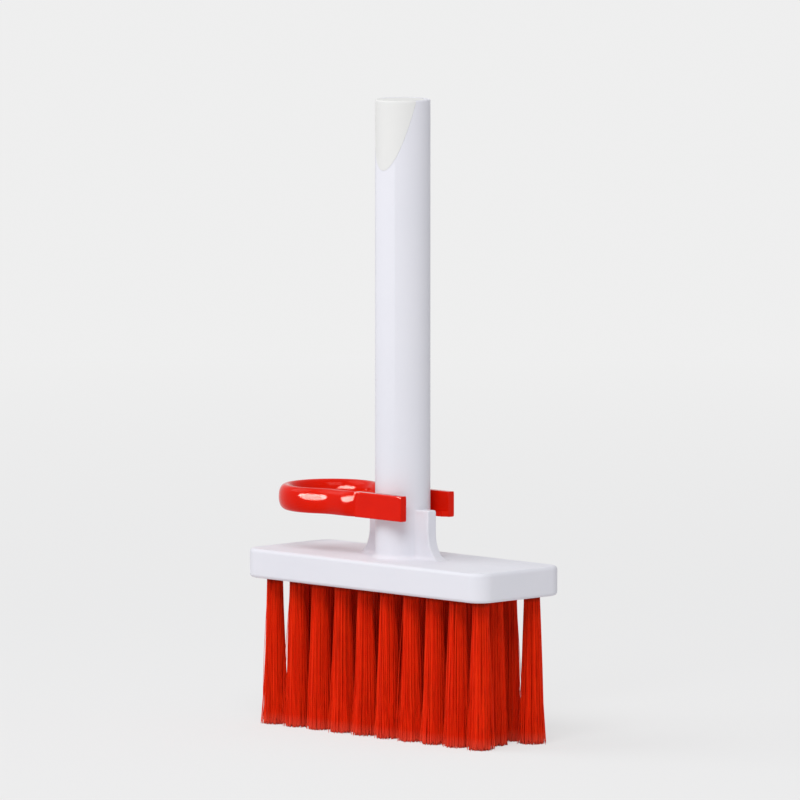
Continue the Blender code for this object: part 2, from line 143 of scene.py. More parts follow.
def softened(profile: Profile, reach: float, steps: int = 4, closed: bool = False) -> Profile:
    """Rounds the corners of a profile.

    Args:
        profile: The profile's corner points.
        reach: How far each round runs along the lines beside its corner.
        steps: How many spans each round has.
        closed: Whether the profile's ends are corners too.

    Returns:
        The profile with each corner drawn as a short parabola.
    """
    count = len(profile)
    points: Profile = []
    for i, corner in enumerate(profile):
        if not closed and i in (0, count - 1):
            points.append(corner)
            continue
        middle = Vector(corner)
        before = Vector(profile[i - 1]) - middle
        after = Vector(profile[(i + 1) % count]) - middle
        start = middle + before.normalized() * min(reach, before.length * LONGEST_ROUND)
        end = middle + after.normalized() * min(reach, after.length * LONGEST_ROUND)
        for k in range(steps + 1):
            t = k / steps
            point = start * (1 - t) ** 2 + middle * (2 * t * (1 - t)) + end * t**2
            points.append((point.x, point.y))
    return points


def turned(name: str, profile: Profile, segments: int, closed: bool = False) -> Mesh:
    """Turns a profile about the vertical axis.

    Args:
        name: The mesh's name.
        profile: Points as radius and height, with the material on the axis side of the way up.
        segments: How many flats the turned piece has.
        closed: Whether the profile's last point joins its first.

    Returns:
        The turned mesh.
    """
    angles = [2 * math.pi * i / segments for i in range(segments)]
    rings = [[Vector((r * math.cos(a), r * math.sin(a), z)) for a in angles] for r, z in profile]
    return skinned(name, rings, closed)


def shaped(blank: Mesh, steps: Sequence[tuple[Shaping, Mesh]]) -> Mesh:
    """Joins bodies to a blank or cuts them from it, in order.

    Args:
        blank: The mesh to start from.
        steps: What to do, and the mesh to do it with.

    Returns:
        The shaped mesh, under the blank's name.
    """
    stock = bpy.data.objects.new("stock", blank)
    helpers = [stock]
    for number, (shaping, tool_mesh) in enumerate(steps):
        tool = bpy.data.objects.new(f"tool_{number}", tool_mesh)
        helpers.append(tool)
        boolean = stock.modifiers.new(f"step_{number}", "BOOLEAN")
        boolean.operation = shaping.value
        boolean.solver = "EXACT"
        boolean.object = tool
    for helper in helpers:
        bpy.context.scene.collection.objects.link(helper)
    graph = bpy.context.evaluated_depsgraph_get()
    result = bpy.data.meshes.new_from_object(stock.evaluated_get(graph))
    name = blank.name
    # A mesh takes the object that uses it along when it is removed.
    for mesh in [helper.data for helper in helpers]:
        bpy.data.meshes.remove(mesh)
    result.name = name
    work = bmesh.new()
    work.from_mesh(result)
    bmesh.ops.remove_doubles(work, verts=work.verts, dist=MERGE_DISTANCE)
    bmesh.ops.dissolve_degenerate(work, edges=work.edges, dist=MERGE_DISTANCE)
    work.to_mesh(result)
    work.free()
    return result


def add_piece(mesh: Mesh, material: Material, body: Body, node: str) -> Piece:
    """Puts a dressed piece in the scene in place of a node.

    Args:
        mesh: The piece's mesh, in the frame's coordinates. The piece takes its name.
        material: The piece's finish.
        body: The body that the piece moves with.
        node: The node that the piece stands for.

    Returns:
        The new object.
    """
    piece = bpy.data.objects.new(mesh.name, mesh)
    bpy.context.scene.collection.objects.link(piece)
    mesh.materials.clear()
    mesh.materials.append(material)
    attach(piece, body.value)
    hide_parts(node)
    log.info("%s: %d faces for %s, riding on %s", piece.name, len(mesh.polygons), node, body.value)
    return piece


def shade_soft(piece: Piece) -> None:
    """Shades a piece smooth between its sharp edges, led by its large faces.

    Args:
        piece: The piece to shade.
    """
    piece.data.shade_smooth()
    piece.data.set_sharp_from_angle(angle=SHARP_ANGLE)
    weighted = piece.modifiers.new("face_weighted", "WEIGHTED_NORMAL")
    weighted.keep_sharp = True


class Graph:
    """A node tree while it is being built.

    Attributes:
        owner: The material or world that owns the tree.
    """

    def __init__(self, owner: Material | World) -> None:
        """Starts the tree with its usual nodes.

        Args:
            owner: The new material or world.
        """
        owner.use_nodes = True
        self.owner = owner
        self._tree = owner.node_tree

    def node(self, name: str) -> Node:
        """Returns one of the nodes that the tree starts with."""
        return self._tree.nodes[name]

    def add(self, kind: str, inputs: dict[str | int, object] | None = None, **settings: object) -> Node:
        """Adds a node.

        Args:
            kind: The node's type.
            inputs: For each input by name or number, a socket to link from or a value to set.
            **settings: Properties of the node itself.

        Returns:
            The new node.
        """
        node = self._tree.nodes.new(kind)
        for name, value in settings.items():
            setattr(node, name, value)
        for name, value in (inputs or {}).items():
            self.feed(node.inputs[name], value)
        return node

    def feed(self, socket: Socket, value: object) -> None:
        """Feeds one input.

        Args:
            socket: The input.
            value: A socket to link from or a value to set.
        """
        if isinstance(value, Socket):
            self._tree.links.new(value, socket)
        else:
            socket.default_value = value

    def place(self) -> Socket:
        """Returns the position on the piece, in metres."""
        return self.add("ShaderNodeTexCoord").outputs["Object"]

    def noise(self, scale: float, detail: float = 2.0) -> Socket:
        """Returns the value of a noise with so many features per metre and so many finer octaves."""
        inputs = {"Vector": self.place(), "Scale": scale, "Detail": detail}
        return self.add("ShaderNodeTexNoise", inputs).outputs["Fac"]

    def span(
        self, value: Socket, low: float, high: float, out_low: float = 0.0, out_high: float = 1.0
    ) -> Socket:
        """Returns a value mapped from the range low to high to another range, and kept inside that."""
        ranges = {"From Min": low, "From Max": high, "To Min": out_low, "To Max": out_high}
        return self.add("ShaderNodeMapRange", {"Value": value, **ranges}).outputs["Result"]

    def patches(
        self, scale: float, low: float = 0.0, high: float = 1.0, detail: float = 2.0, edge: float = 0.3
    ) -> Socket:
        """Returns soft patches between two values, cut from a noise at edge and as much below 1."""
        return self.span(self.noise(scale, detail), edge, 1.0 - edge, low, high)

    def blend(self, share: Socket, first: Colour, second: Colour) -> Socket:
        """Mixes two colours.

        Args:
            share: How much of the second colour there is.
            first: The first colour.
            second: The second colour.

        Returns:
            The mixed colour.
        """
        ramp = self.add("ShaderNodeValToRGB", {"Fac": share})
        ramp.color_ramp.elements[0].color = (*first, 1.0)
        ramp.color_ramp.elements[1].color = (*second, 1.0)
        return ramp.outputs["Color"]

    def bump(self, height: Socket, depth: float, strength: float, under: Socket | None = None) -> Socket:
        """Adds relief.

        Args:
            height: The relief's height, from 0 to 1.
            depth: The height of 1, in metres.
            strength: How strongly the relief shows.
            under: The normal of a coarser relief below this one.

        Returns:
            The bumped normal.
        """
        inputs = {"Height": height, "Distance": depth, "Strength": strength}
        if under is not None:
            inputs["Normal"] = under
        return self.add("ShaderNodeBump", inputs).outputs["Normal"]

    def seen(self) -> Socket:
        """Adds the test for rays that show a surface rather than light it.

        Returns:
            A socket that is 1 for camera, glossy and transmission rays.
        """
        path = self.add("ShaderNodeLightPath")
        test = path.outputs["Is Camera Ray"]
        for name in ("Is Glossy Ray", "Is Transmission Ray"):
            larger = self.add("ShaderNodeMath", {0: test, 1: path.outputs[name]}, operation="MAXIMUM")
            test = larger.outputs[0]
        return test

    def set_shader(self, **values: object) -> None:
        """Feeds the Principled shader.

        Args:
            **values: For each input, named in small letters with underscores for spaces, a socket to
                link from or a value to set.
        """
        inputs = self.node("Principled BSDF").inputs
        sockets = {socket.name.lower().replace(" ", "_"): socket for socket in inputs}
        for name, value in values.items():
            self.feed(sockets[name], value)


@dataclass(frozen=True)
class Finish:
    """A finish of the object's pieces.

    Attributes:
        name: The material's name.
        colour: The main colour.
    """

    name: str
    colour: Colour

    def dress(self, graph: Graph) -> None:
        """Sets up the finish's nodes in the new material's tree."""
        raise NotImplementedError

    def material(self) -> Material:
        """Makes the finish's material.

        Returns:
            The new material.
        """
        graph = Graph(bpy.data.materials.new(self.name))
        self.dress(graph)
        return graph.owner


@dataclass(frozen=True)
class SatinPlastic(Finish):
    """A moulded plastic with a fine satin skin.

    Attributes:
        deep_colour: The colour of the fainter clouds in the moulding.
        roughness: The middle of the roughness range.
        grain: How strongly the fine skin shows.
        shine: The strength of the reflections; 0.5 is a usual plastic.
    """

    deep_colour: Colour
    roughness: float = 0.38
    grain: float = 0.10
    shine: float = 0.04

    def dress(self, graph: Graph) -> None:
        """Sets up faint clouds and an uneven gloss, with a fine skin over slight waves.

        Args:
            graph: The new material's tree.
        """
        clouds = graph.patches(70.0, detail=3.0, edge=0.35)
        waves = graph.bump(graph.noise(140.0, detail=1.0), depth=0.02 * MM, strength=0.15)
        graph.set_shader(
            base_color=graph.blend(clouds, self.colour, self.deep_colour),
            roughness=graph.patches(420.0, self.roughness - 0.03, self.roughness + 0.04),
            normal=graph.bump(graph.noise(5200.0), 0.012 * MM, self.grain, under=waves),
            specular_ior_level=self.shine,
        )


@dataclass(frozen=True)
class GlossPlastic(Finish):
    """A coloured plastic with a polished skin.

    Attributes:
        deep_colour: The colour where the moulding is a little denser.
        roughness: The middle of the roughness range.
        shine: The strength of the reflections; 0.5 is a usual plastic.
        shine_tint: The colour of the reflections that are seen square on.
    """

    deep_colour: Colour
    roughness: float = 0.1
    shine: float = 0.12
    shine_tint: Colour = (1.0, 0.52, 0.46)

    def dress(self, graph: Graph) -> None:
        """Sets up faint clouds, a nearly even gloss and slight waves.

        Args:
            graph: The new material's tree.
        """
        graph.set_shader(
            base_color=graph.blend(graph.patches(160.0), self.colour, self.deep_colour),
            roughness=graph.patches(900.0, self.roughness - 0.02, self.roughness + 0.02),
            normal=graph.bump(graph.noise(260.0, detail=1.0), depth=0.02 * MM, strength=0.12),
            specular_ior_level=self.shine,
            specular_tint=(*self.shine_tint, 1.0),
        )


@dataclass(frozen=True)
class Filament(Finish):
    """Fine nylon filament, each one a shade of its own.

    Attributes:
        colour: The shade of the darkest filaments.
        bright_colour: The shade of the brightest filaments.
        root_height: The height where the filaments leave the plate.
        painted_shade_band: How far below it the filaments are painted darker, as painted shade under the
            plate.
        painted_root_shade: The share of the colour that the painted shade leaves at the root.
        pale_tip_and_light_band: How far above the ground the tips are made paler, partly for their frayed
            ends and partly as painted light against the shade near the ground.
        pale_tip_and_painted_light: What the very tips add to the colour: paler frayed ends and painted light.
        roughness: The filaments' roughness.
        shine: The strength of the reflections; 0.5 is a usual plastic.
    """

    bright_colour: Colour
    root_height: float
    painted_shade_band: float = 1.6 * MM
    painted_root_shade: float = 0.2
    pale_tip_and_light_band: float = 3.0 * MM
    pale_tip_and_painted_light: Colour = (0.02, 0.07, 0.05)
    roughness: float = 0.5
    shine: float = 0.08

    def dress(self, graph: Graph) -> None:
        """Sets up each filament's own shade, with painted shade at the roots, paler tips partly from painted
        light, and fine scuffs.

        Args:
            graph: The new material's tree.
        """
        own_shade = graph.add("ShaderNodeNewGeometry").outputs["Random Per Island"]
        drift = graph.noise(380.0)
        mix = {0: own_shade, 1: drift, 2: graph.span(drift, 0.3, 0.7, out_high=0.35)}
        shade = graph.add("ShaderNodeMath", mix, operation="MULTIPLY_ADD")
        nylon = graph.blend(shade.outputs[0], self.colour, self.bright_colour)
        height = graph.add("ShaderNodeSeparateXYZ", {"Vector": graph.place()}).outputs["Z"]
        # Painted shade: the colour darkens over the last band below the plate, where the plate shades the
        # filaments.
        band_start = self.root_height - self.painted_shade_band
        painted_shade_factor = graph.span(height, band_start, self.root_height, 1.0, self.painted_root_shade)
        dimmed = graph.add("ShaderNodeVectorMath", {0: nylon, "Scale": painted_shade_factor}, operation="SCALE")
        # Partly paler frayed ends, partly painted light: the colour lightens towards the ground, against the
        # shade there.
        pale_tip_and_light_share = graph.span(height, 0.0, self.pale_tip_and_light_band, 1.0, 0.0)
        pale_tip_and_light_inputs = {0: pale_tip_and_light_share, 1: self.pale_tip_and_painted_light, 2: dimmed.outputs[0]}
        graph.set_shader(
            base_color=graph.add("ShaderNodeVectorMath", pale_tip_and_light_inputs, operation="MULTIPLY_ADD").outputs[0],
            roughness=self.roughness,
            normal=graph.bump(graph.noise(9000.0, detail=1.0), depth=0.01 * MM, strength=0.2),
            specular_ior_level=self.shine,
        )


@dataclass(frozen=True)
class TurnedSteel(Finish):
    """Steel with the fine rings that a lathe leaves.

    Attributes:
        ring_pitch: The distance from one turning mark to the next.
        dull_share: The brightness of the duller patches beside the rest.
    """

    ring_pitch: float = 0.12 * MM
    dull_share: float = 0.86

    def dress(self, graph: Graph) -> None:
        """Sets up the turning marks over patches of duller metal.

        Args:
            graph: The new material's tree.
        """
        scale = 1.0 / (2 * math.pi * self.ring_pitch)
        wave = {"Vector": graph.place(), "Scale": scale, "Distortion": 0.6}
        rings = graph.add("ShaderNodeTexWave", wave, bands_direction="Z").outputs["Fac"]
        dull_colour = tuple(self.dull_share * part for part in self.colour)
        graph.set_shader(
            base_color=graph.blend(graph.noise(900.0), self.colour, dull_colour),
            metallic=1.0,
            roughness=graph.patches(2500.0, 0.2, 0.34),
            anisotropic=0.5,
            normal=graph.bump(rings, depth=0.006 * MM, strength=0.4),
        )


@dataclass(frozen=True)
class Flock(Finish):
    """Short white flock over a soft core.

    Attributes:
        shade: The colour deep between the fibres, a painted shade where the tufting's relief is low.
    """

    shade: Colour

    def dress(self, graph: Graph) -> None:
        """Sets up fine tufting with painted shade in its hollows and a soft sheen.

        Args:
            graph: The new material's tree.
        """
        tufting = graph.noise(2600.0, detail=4.0)
        # Painted shade: the colour darkens where the tufting's relief is low.
        graph.set_shader(
            base_color=graph.blend(graph.span(tufting, 0.3, 0.6), self.shade, self.colour),
            roughness=0.95,
            normal=graph.bump(tufting, depth=0.15 * MM, strength=0.6),
            sheen_weight=0.5,
            sheen_roughness=0.6,
            specular_ior_level=0.2,
        )


@dataclass(frozen=True)
class Datum:
    """The heights and sizes that the sub-assemblies share, read from the frame.

    Attributes:
        plate_length: The plate's long side.
        plate_width: The plate's short side.
        plate_bottom: The height of the plate's underside.
        plate_top: The height of the plate's upper side.
        handle_top: The height of the handle's open end.
        handle_radius: The handle's outer radius.
    """

    plate_length: float
    plate_width: float
    plate_bottom: float
    plate_top: float
    handle_top: float
    handle_radius: float

    @classmethod
    def read(cls, plate_thickness: float = 7.0 * MM) -> "Datum":
        """Reads the shared sizes from the frame's boxes.

        Args:
            plate_thickness: The plate's thickness, the one size that no box shows.

        Returns:
            The shared sizes.
        """
        low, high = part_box("brush_body")
        return cls(
            plate_length=high.x - low.x,
            plate_width=high.y - low.y,
            plate_bottom=low.z,
            plate_top=low.z + plate_thickness,
            handle_top=high.z,
            handle_radius=-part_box("pen_cap")[0].y,
        )


@dataclass(frozen=True)
class Mouth:
    """The oblique cut at the handle's top, where the tube ends and the cap's wedge begins.

    Attributes:
        datum: The shared sizes.
        depth: How far the cut falls from the handle's top to its front.
        setback: How far in front of the handle's axis the cut starts at the top.
    """

    datum: Datum
    depth: float = 16.7 * MM
    setback: float = 1.6 * MM

    @property
    def slope(self) -> float:
        """Returns how far the cut falls for each unit towards the front."""
        return self.depth / (self.datum.handle_radius - self.setback)

    def wedge(self, gap: float) -> Mesh:
        """Makes the space above the cut.

        Args:
            gap: How far, square to the cut, the space is moved up.

        Returns:
            A block with the cut as its lower side.
        """
        rise = gap * math.hypot(1.0, self.slope)
        half = 2 * self.datum.handle_radius
        middle = self.datum.handle_top + self.slope * self.setback
        over = middle + 2 * self.slope * half
        section = [
            (-half, middle - self.slope * half + rise),
            (half, middle + self.slope * half + rise),
            (half, over),
            (-half, over),
        ]
        return skinned("mouth", [[Vector((x, y, z)) for y, z in section] for x in (-half, half)])


@dataclass
class BrushBody:
    """The white moulding: rounded plate, two foot fins and hollow handle.

    Attributes:
        datum: The shared sizes.
        mouth: The oblique cut at the handle's top.
        finish: The moulding's finish.
        corner_radius: The plate's corner radius, seen from above.
        edge_round: The round of the plate's upper and lower edges.
        foot_fillet: The fillet where the handle and the fins' sides meet the plate.
        wall: The handle's wall.
        bore_floor: What is left of the plate below the bore.
        rim_round: The round of the handle's rim.
        fin_thickness: The fins' thickness.
        fin_overhang: How far the fins stand out of the handle.
        fin_height: The fins' height above the plate.
        fin_edge_round: The round of the fins' upper edges.
        fin_squareness: The power of the fins' outline; the higher it is, the sharper are their edges.
        flare_width: How far the fins flare out where they meet the plate.
        flare_height: How high the flare starts.
        web_fillet: How far the fillet between a fin and the handle reaches.
        socket_radius: The radius of the tuft holes.
        socket_depth: The depth of the tuft holes.
        socket_chamfer: The chamfer round the tuft holes.
        sides: How many points each ring round the handle has.
        crowding: How strongly those points crowd round the fins' ends, in radians.
    """

    datum: Datum
    mouth: Mouth
    finish: SatinPlastic
    corner_radius: float = 4.2 * MM
    edge_round: float = 0.9 * MM
    foot_fillet: float = 1.1 * MM
    wall: float = 1.3 * MM
    bore_floor: float = 1.0 * MM
    rim_round: float = 0.4 * MM
    fin_thickness: float = 2.8 * MM
    fin_overhang: float = 3.4 * MM
    fin_height: float = 11.6 * MM
    fin_edge_round: float = 0.4 * MM
    fin_squareness: float = 20.0
    flare_width: float = 4.0 * MM
    flare_height: float = 6.6 * MM
    web_fillet: float = 3.2 * MM
    socket_radius: float = 2.0 * MM
    socket_depth: float = 4.2 * MM
    socket_chamfer: float = 0.12 * MM
    sides: int = 288
    crowding: float = 0.36

    def build(self) -> Piece:
        """Moulds the body.

        Returns:
            The new piece.
        """
        steps = [
            (Shaping.JOIN, self.handle_blank()),
            (Shaping.CUT, self.bore()),
            (Shaping.CUT, self.sockets()),
            (Shaping.CUT, self.mouth.wedge(0.0)),
        ]
        mesh = shaped(self.plate_blank(), steps)
        piece = add_piece(mesh, self.finish.material(), Body.BRUSH, "brush_body")
        shade_soft(piece)
        return piece

    def plate_blank(self, corner_steps: int = 14, edge_steps: int = 7) -> Mesh:
        """Makes the plate as a slab with round corners and rounded edges.

        Args:
            corner_steps: How many spans each corner has.
            edge_steps: How many spans each rounded edge has.

        Returns:
            The plate's mesh.
        """
        edge = self.edge_round
        low, high = self.datum.plate_bottom, self.datum.plate_top
        # Each level is the outline's inset and its height.
        levels = [(inset, low + rise) for inset, rise in arc((edge, edge), edge, 270, 180, edge_steps)]
        levels += [(inset, high + rise) for inset, rise in arc((edge, -edge), edge, 180, 90, edge_steps)]
        return skinned("white_body", [self.plate_outline(*level, corner_steps) for level in levels])

    def plate_outline(self, inset: float, height: float, corner_steps: int) -> Ring:
        """Draws the plate's outline.

        Args:
            inset: How far the outline lies inside the plate's full size.
            height: The height that it is drawn at.
            corner_steps: How many spans each corner has.

        Returns:
            The outline's points.
        """
        radius = self.corner_radius - inset
        along = self.datum.plate_length / 2 - self.corner_radius
        across = self.datum.plate_width / 2 - self.corner_radius
        ring = []
        for quarter, (sx, sy) in enumerate(((1, 1), (-1, 1), (-1, -1), (1, -1))):
            middle, start = (sx * along, sy * across), 90 * quarter
            ring += [Vector((*spot, height)) for spot in arc(middle, radius, start, start + 90, corner_steps)]
        return ring

    @staticmethod
    def fillet(rise: float, height: float) -> float:
        """Returns how far, as a share of its width, a concave fillet stands out at a rise."""
        left = 1 - min(rise / height, 1.0)
        return 1 - math.sqrt(max(0.0, 1 - left**2))

    def round_ring(self, rise: float, drawn_at: float, fins: bool = True) -> Ring:
        """Draws the outline of handle and fins.

        The fins are a rounded bar, blended into the handle's circle by a smooth maximum.

        Args:
            rise: The height above the plate that the outline is worked out for.
            drawn_at: The height that it is drawn at.
            fins: Whether the outline includes the fins.

        Returns:
            The outline's points, closest together round the fins' ends.
        """
        foot = self.foot_fillet * self.fillet(rise, self.foot_fillet)
        top_inset = self.fin_edge_round * self.fillet(self.fin_height - rise, self.fin_edge_round)
        handle = self.datum.handle_radius + foot
        reach = self.datum.handle_radius + self.fin_overhang - top_inset
        reach += self.flare_width * self.fillet(rise, self.flare_height)
        half = self.fin_thickness / 2 + foot - top_inset
        ring = []
        for i in range(self.sides):
            turn = 2 * math.pi * i / self.sides
            angle = turn - self.crowding * math.sin(2 * turn)
            radius = handle
            if fins:
                cosine, sine = abs(math.cos(angle)) / reach, abs(math.sin(angle)) / half
                power = self.fin_squareness
                bar = (cosine**power + sine**power) ** (-1 / power)
                near = max(self.web_fillet - abs(bar - handle), 0.0)
                radius = max(bar, handle) + near**2 / (4 * self.web_fillet)
            ring.append(Vector((radius * math.cos(angle), radius * math.sin(angle), drawn_at)))
        return ring

    def handle_blank(self, fillet_steps: int = 9, flare_steps: int = 8, edge_steps: int = 5) -> Mesh:
        """Makes the handle with its fins, from inside the plate to its rounded rim.

        Args:
            fillet_steps: How many spans the foot's fillet has.
            flare_steps: How many spans the fins' flare has above it.
            edge_steps: How many spans the fins' upper edge and the handle's rim have.

        Returns:
            The handle's mesh.
        """
        base = self.datum.plate_top
        foot, flare = self.foot_fillet, self.flare_height - self.foot_fillet
        edge, shoulder = self.fin_edge_round, self.fin_height - self.fin_edge_round
        quarter = math.pi / 2
        rises = [foot * (1 - math.cos(quarter * k / fillet_steps)) for k in range(1, fillet_steps + 1)]
        rises += [foot + flare * k / flare_steps for k in range(1, flare_steps + 1)]
        rises += [shoulder + edge * math.sin(quarter * k / edge_steps) for k in range(edge_steps + 1)]
        rings = [self.round_ring(rises[0], base - self.foot_fillet)]
        rings += [self.round_ring(rise, base + rise) for rise in rises]
        rings.append(self.round_ring(self.fin_height, base + self.fin_height, fins=False))
        rim = self.datum.handle_top - self.rim_round
        for inset, height in arc((self.rim_round, rim), self.rim_round, 180, 90, edge_steps):
            full = self.round_ring(self.fin_height, height, fins=False)
            share = 1 - inset / self.datum.handle_radius
            rings.append([Vector((p.x * share, p.y * share, height)) for p in full])
        return skinned("handle_blank", rings)

    def bore(self) -> Mesh:
        """Makes the space inside the handle, with a small lead-in at its rim.

        Returns:
            The bore's mesh.
        """
        radius = self.datum.handle_radius - self.wall
        top = self.datum.handle_top
        lead = self.rim_round / 2
        profile = [
            (radius - lead, self.datum.plate_top + self.bore_floor),
            (radius, self.datum.plate_top + self.bore_floor + lead),
            (radius, top - lead),
            (radius + lead, top),
            (radius + lead, top + self.wall),
        ]
        return turned("bore", profile, self.sides // 2)

    def sockets(self, segments: int = 28) -> Mesh:
        """Makes the spaces of all tuft holes.

        Args:
            segments: How many flats each hole has.

        Returns:
            One mesh with a body for each hole.
        """
        bottom = self.datum.plate_bottom
        profile = [
            (self.socket_radius + self.socket_chamfer, bottom - self.socket_depth),
            (self.socket_radius + self.socket_chamfer, bottom),
            (self.socket_radius, bottom + self.socket_chamfer),
            (self.socket_radius, bottom + self.socket_depth),
        ]
        hole = turned("tuft_hole", profile, segments)
        work = bmesh.new()
        for node in tuft_nodes():
            first = len(work.verts)
            work.from_mesh(hole)
            work.verts.ensure_lookup_table()
            bmesh.ops.translate(work, verts=work.verts[first:], vec=tuft_middle(node))
        mesh = bpy.data.meshes.new("tuft_holes")
        work.to_mesh(mesh)
        work.free()
        return mesh


def reach_of(node: str) -> tuple[float, float, float]:
    """Returns the lowest height, the highest height and the radius of a node on the handle's axis."""
    low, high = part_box(node)
    return low.z, high.z, (high.x - low.x) / 2


def tuft_nodes() -> list[str]:
    """Returns the names of the frame's tuft nodes, in order."""
    return sorted(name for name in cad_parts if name.startswith("tuft_"))


def tuft_middle(node: str) -> Vector:
    """Finds where a tuft's axis stands.

    Args:
        node: The tuft's node.

    Returns:
        The middle of the tuft's round root, at height 0.
    """
    points = [vertex.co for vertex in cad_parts[node].data.vertices]
    top = max(point.z for point in points)
    rim = {tuple(round(c, 6) for c in point) for point in points if top - point.z < MERGE_DISTANCE}
    return Vector((sum(p[0] for p in rim) / len(rim), sum(p[1] for p in rim) / len(rim), 0.0))


@dataclass
class Bristles:
    """All tufts of the brush, each a bundle of fine filaments.

    Attributes:
        datum: The shared sizes.
        finish: The filaments' finish.
        filaments: How many filaments each tuft has.
        filament_radius: The filaments' radius at the root.
        tip_swell: How much thicker the filaments look near their split tips.
        swell_end: The share of its rings that a filament takes to swell so far.
        root_radius: The bundle's radius where it leaves the plate.
        tip_radius: The bundle's radius at the tips.
        tip_crowding: The power that draws the tips towards the bundle's outside; 1 is evenly.
        flare_power: How late the bundle spreads; 1 is evenly.
        root_depth: How far up into the plate the filaments are drawn.
        bow: The usual sideways bow of a filament.
        lean: The usual lean of a filament's tip off its even place.
        turn_scatter: How far, in radians, a filament usually stands off its even place round the axis.
        reach_scatter: How unevenly far the filaments spread.
        girths: The thinnest and the thickest filament beside filament_radius.
        raggedness: How unevenly the tips are cut.
        longest_cut: The most that a tip is cut back, as a multiple of raggedness.
        full_share: The share of filaments that reach the full length.
        stray_share: The share of filaments that stray from the bundle.
        stray_reach: How much further than the rest a stray spreads, at most.
        stray_least: The least share of that by which a stray spreads further.
        stray_bow: How much more than the rest a stray bows.
        stray_lateness: How much later a stray spreads; 1 is with the rest.
        stray_girth: How thick a stray is beside the rest.
        sides: How many sides each filament has.
        levels: How many rings of points each filament has below the plate.
        tip_start: How far down a filament its last ring but one lies, so that the end face only
            bends the shading there.
        seed: The seed of the random numbers.
    """

    datum: Datum
    finish: Filament
    filaments: int = 480
    filament_radius: float = 0.085 * MM
    tip_swell: float = 1.42
    swell_end: float = 0.8
    root_radius: float = 1.84 * MM
    tip_radius: float = 2.7 * MM
    tip_crowding: float = 0.75
    flare_power: float = 1.05
    root_depth: float = 2.0 * MM
    bow: float = 0.10 * MM
    lean: float = 0.14 * MM
    turn_scatter: float = 0.04
    reach_scatter: float = 0.03
    girths: tuple[float, float] = (0.85, 1.1)
    raggedness: float = 0.5 * MM
    longest_cut: float = 3.0
    full_share: float = 0.25
    stray_share: float = 0.28
    stray_reach: float = 0.42
    stray_least: float = 0.2
    stray_bow: float = 1.5
    stray_lateness: float = 1.5
    stray_girth: float = 0.6
    sides: int = 3
    levels: int = 6
    tip_start: float = 0.985
    seed: int = 11

    def build(self) -> list[Piece]:
        """Sets a bundle in each tuft hole.

        Returns:
            The new pieces.
        """
        material = self.finish.material()
        random = np.random.default_rng(self.seed)
        pieces = []
        for node in tuft_nodes():
            name = node.replace("tuft", "bristles")
            mesh = self.bundle(name, tuft_middle(node), random)
            pieces.append(add_piece(mesh, material, Body.BRUSH, node))
        return pieces

    def bundle(self, name: str, middle: Vector, random: np.random.Generator) -> Mesh:
        """Makes one bundle of filaments.

        Args:
            name: The mesh's name.
            middle: Where the bundle's axis stands.
            random: The source of the bundle's unevenness.

        Returns:
            The bundle's mesh.
        """
        lines, stray = self.centre_lines(random)
        lines = lines + np.array(middle)
        count, sides = self.filaments, self.sides
        shares = np.linspace(0, 1, self.levels + 1)
        taper = np.interp(shares, (0.0, self.swell_end), (1.0, self.tip_swell))
        turn = random.uniform(0, 2 * math.pi, (count, 1)) + np.arange(sides) * 2 * math.pi / sides
        around = np.stack([np.cos(turn), np.sin(turn), np.zeros_like(turn)], axis=-1)
        girth = self.filament_radius * random.uniform(*self.girths, (count, 1, 1, 1))
        girth = girth * np.where(stray, self.stray_girth, 1.0)[:, None, None, None]
        points = lines[:, :, None, :] + girth * taper[None, :, None, None] * around[:, None, :, :]
        root = np.arange(count)[:, None] * (self.levels + 1) * sides
        tip = root + sides * self.levels
        blocks = []
        for level in range(self.levels):
            upper, lower = root + sides * level, root + sides * (level + 1)
            for side in range(sides):
                after = (side + 1) % sides
                blocks.append(np.hstack([upper + side, lower + side, lower + after, upper + after]))
        blocks.append(np.hstack([root + side for side in range(sides)]))
        blocks.append(np.hstack([tip + side for side in reversed(range(sides))]))
        faces = [tuple(face) for block in blocks for face in block.tolist()]
        mesh = bpy.data.meshes.new(name)
        mesh.from_pydata(points.reshape(-1, 3).tolist(), [], faces)
        mesh.update()
        mesh.shade_smooth()
        return mesh

    def centre_lines(self, random: np.random.Generator) -> tuple[np.ndarray, np.ndarray]:
        """Draws the filaments of a bundle, roots spread evenly over a disc and tips over a wider one.

        Args:
            random: The source of the filaments' unevenness.

        Returns:
            For each filament, its points from the root down to the tip, and whether it strays.
        """
        count = self.filaments
        number = np.arange(count) + 0.5
        outward = np.sqrt(number / count)
        # The golden angle from each filament to the next fills the disc evenly.
        angle = number * math.pi * (3 - math.sqrt(5)) + random.normal(0, self.turn_scatter, count)
        heading = np.stack([np.cos(angle), np.sin(angle)], axis=-1)
        reach = random.normal(1.0, self.reach_scatter, count)
        stray = random.random(count) < self.stray_share
        reach = reach + stray * random.uniform(self.stray_least, 1.0, count) * self.stray_reach
        root = heading * (outward * self.root_radius)[:, None]
        tip = heading * (outward**self.tip_crowding * reach * self.tip_radius)[:, None]
        tip = tip + random.normal(0, self.lean, (count, 2))
        bow = random.normal(0, self.bow, (count, 2)) * (1 + self.stray_bow * stray)[:, None]
        cut = np.abs(random.normal(0, self.raggedness, count))
        cut = np.minimum(cut, self.longest_cut * self.raggedness)
        cut[random.random(count) < self.full_share] = 0.0
        power = self.flare_power * np.where(stray, self.stray_lateness, 1.0)
        above = -self.root_depth / self.datum.plate_bottom
        run = np.concatenate([[above], np.linspace(0, self.tip_start, self.levels - 1), [1]])
        lines = np.empty((count, self.levels + 1, 3))
        for level, share in enumerate(run):
            spread = (max(share, 0.0) ** power)[:, None]
            swing = math.sin(math.pi * max(share, 0.0))
            lines[:, level, :2] = root + (tip - root) * spread + bow * swing
            lines[:, level, 2] = self.datum.plate_bottom * (1 - share) + cut * max(share, 0.0)
        return lines, stray


